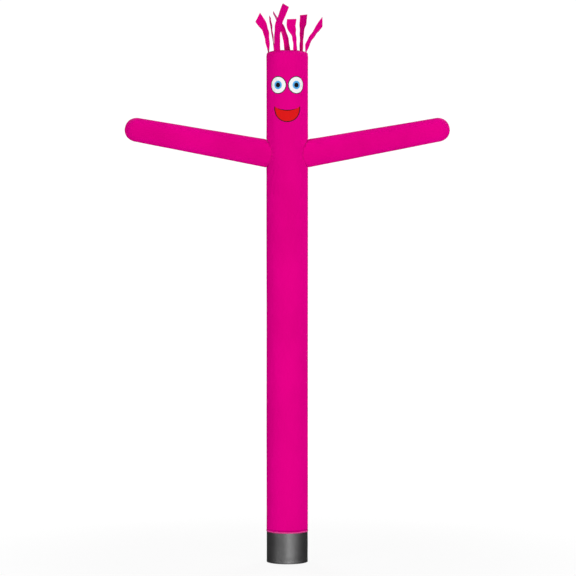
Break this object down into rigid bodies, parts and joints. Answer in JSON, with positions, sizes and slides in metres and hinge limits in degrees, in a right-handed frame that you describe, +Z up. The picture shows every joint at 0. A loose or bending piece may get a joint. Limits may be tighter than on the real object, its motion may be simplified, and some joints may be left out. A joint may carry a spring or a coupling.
{
  "type": "inflatable air dancer",
  "caption": "Tall inflated nylon tube figure with a domed head, tapered arms held out, loose streamers for hair and a coated cuff that fits over a blower and stands on its hem.",
  "frame": {"origin": "centre of the circle on which the cuff's bottom hem stands, at the level of that hem", "axes": "+Z up along the body tube, +X towards the arm on the right as seen from the front, front faces -Y"},
  "size_m": [3.5734, 0.4693, 6.1495],
  "materials": {
    "pink_nylon": "satin",
    "pink_streamer_nylon": "satin",
    "black_coated_cloth": "satin"
  },
  "bodies": {
    "root": {"body_tube": "pink_nylon", "crown_panel": "pink_nylon", "left_arm": "pink_nylon", "right_arm": "pink_nylon", "base_cuff": "black_coated_cloth", "streamer_1": "pink_streamer_nylon", "streamer_2": "pink_streamer_nylon", "streamer_3": "pink_streamer_nylon", "streamer_4": "pink_streamer_nylon", "streamer_5": "pink_streamer_nylon", "streamer_6": "pink_streamer_nylon", "streamer_7": "pink_streamer_nylon"}
  },
  "joints": []
}
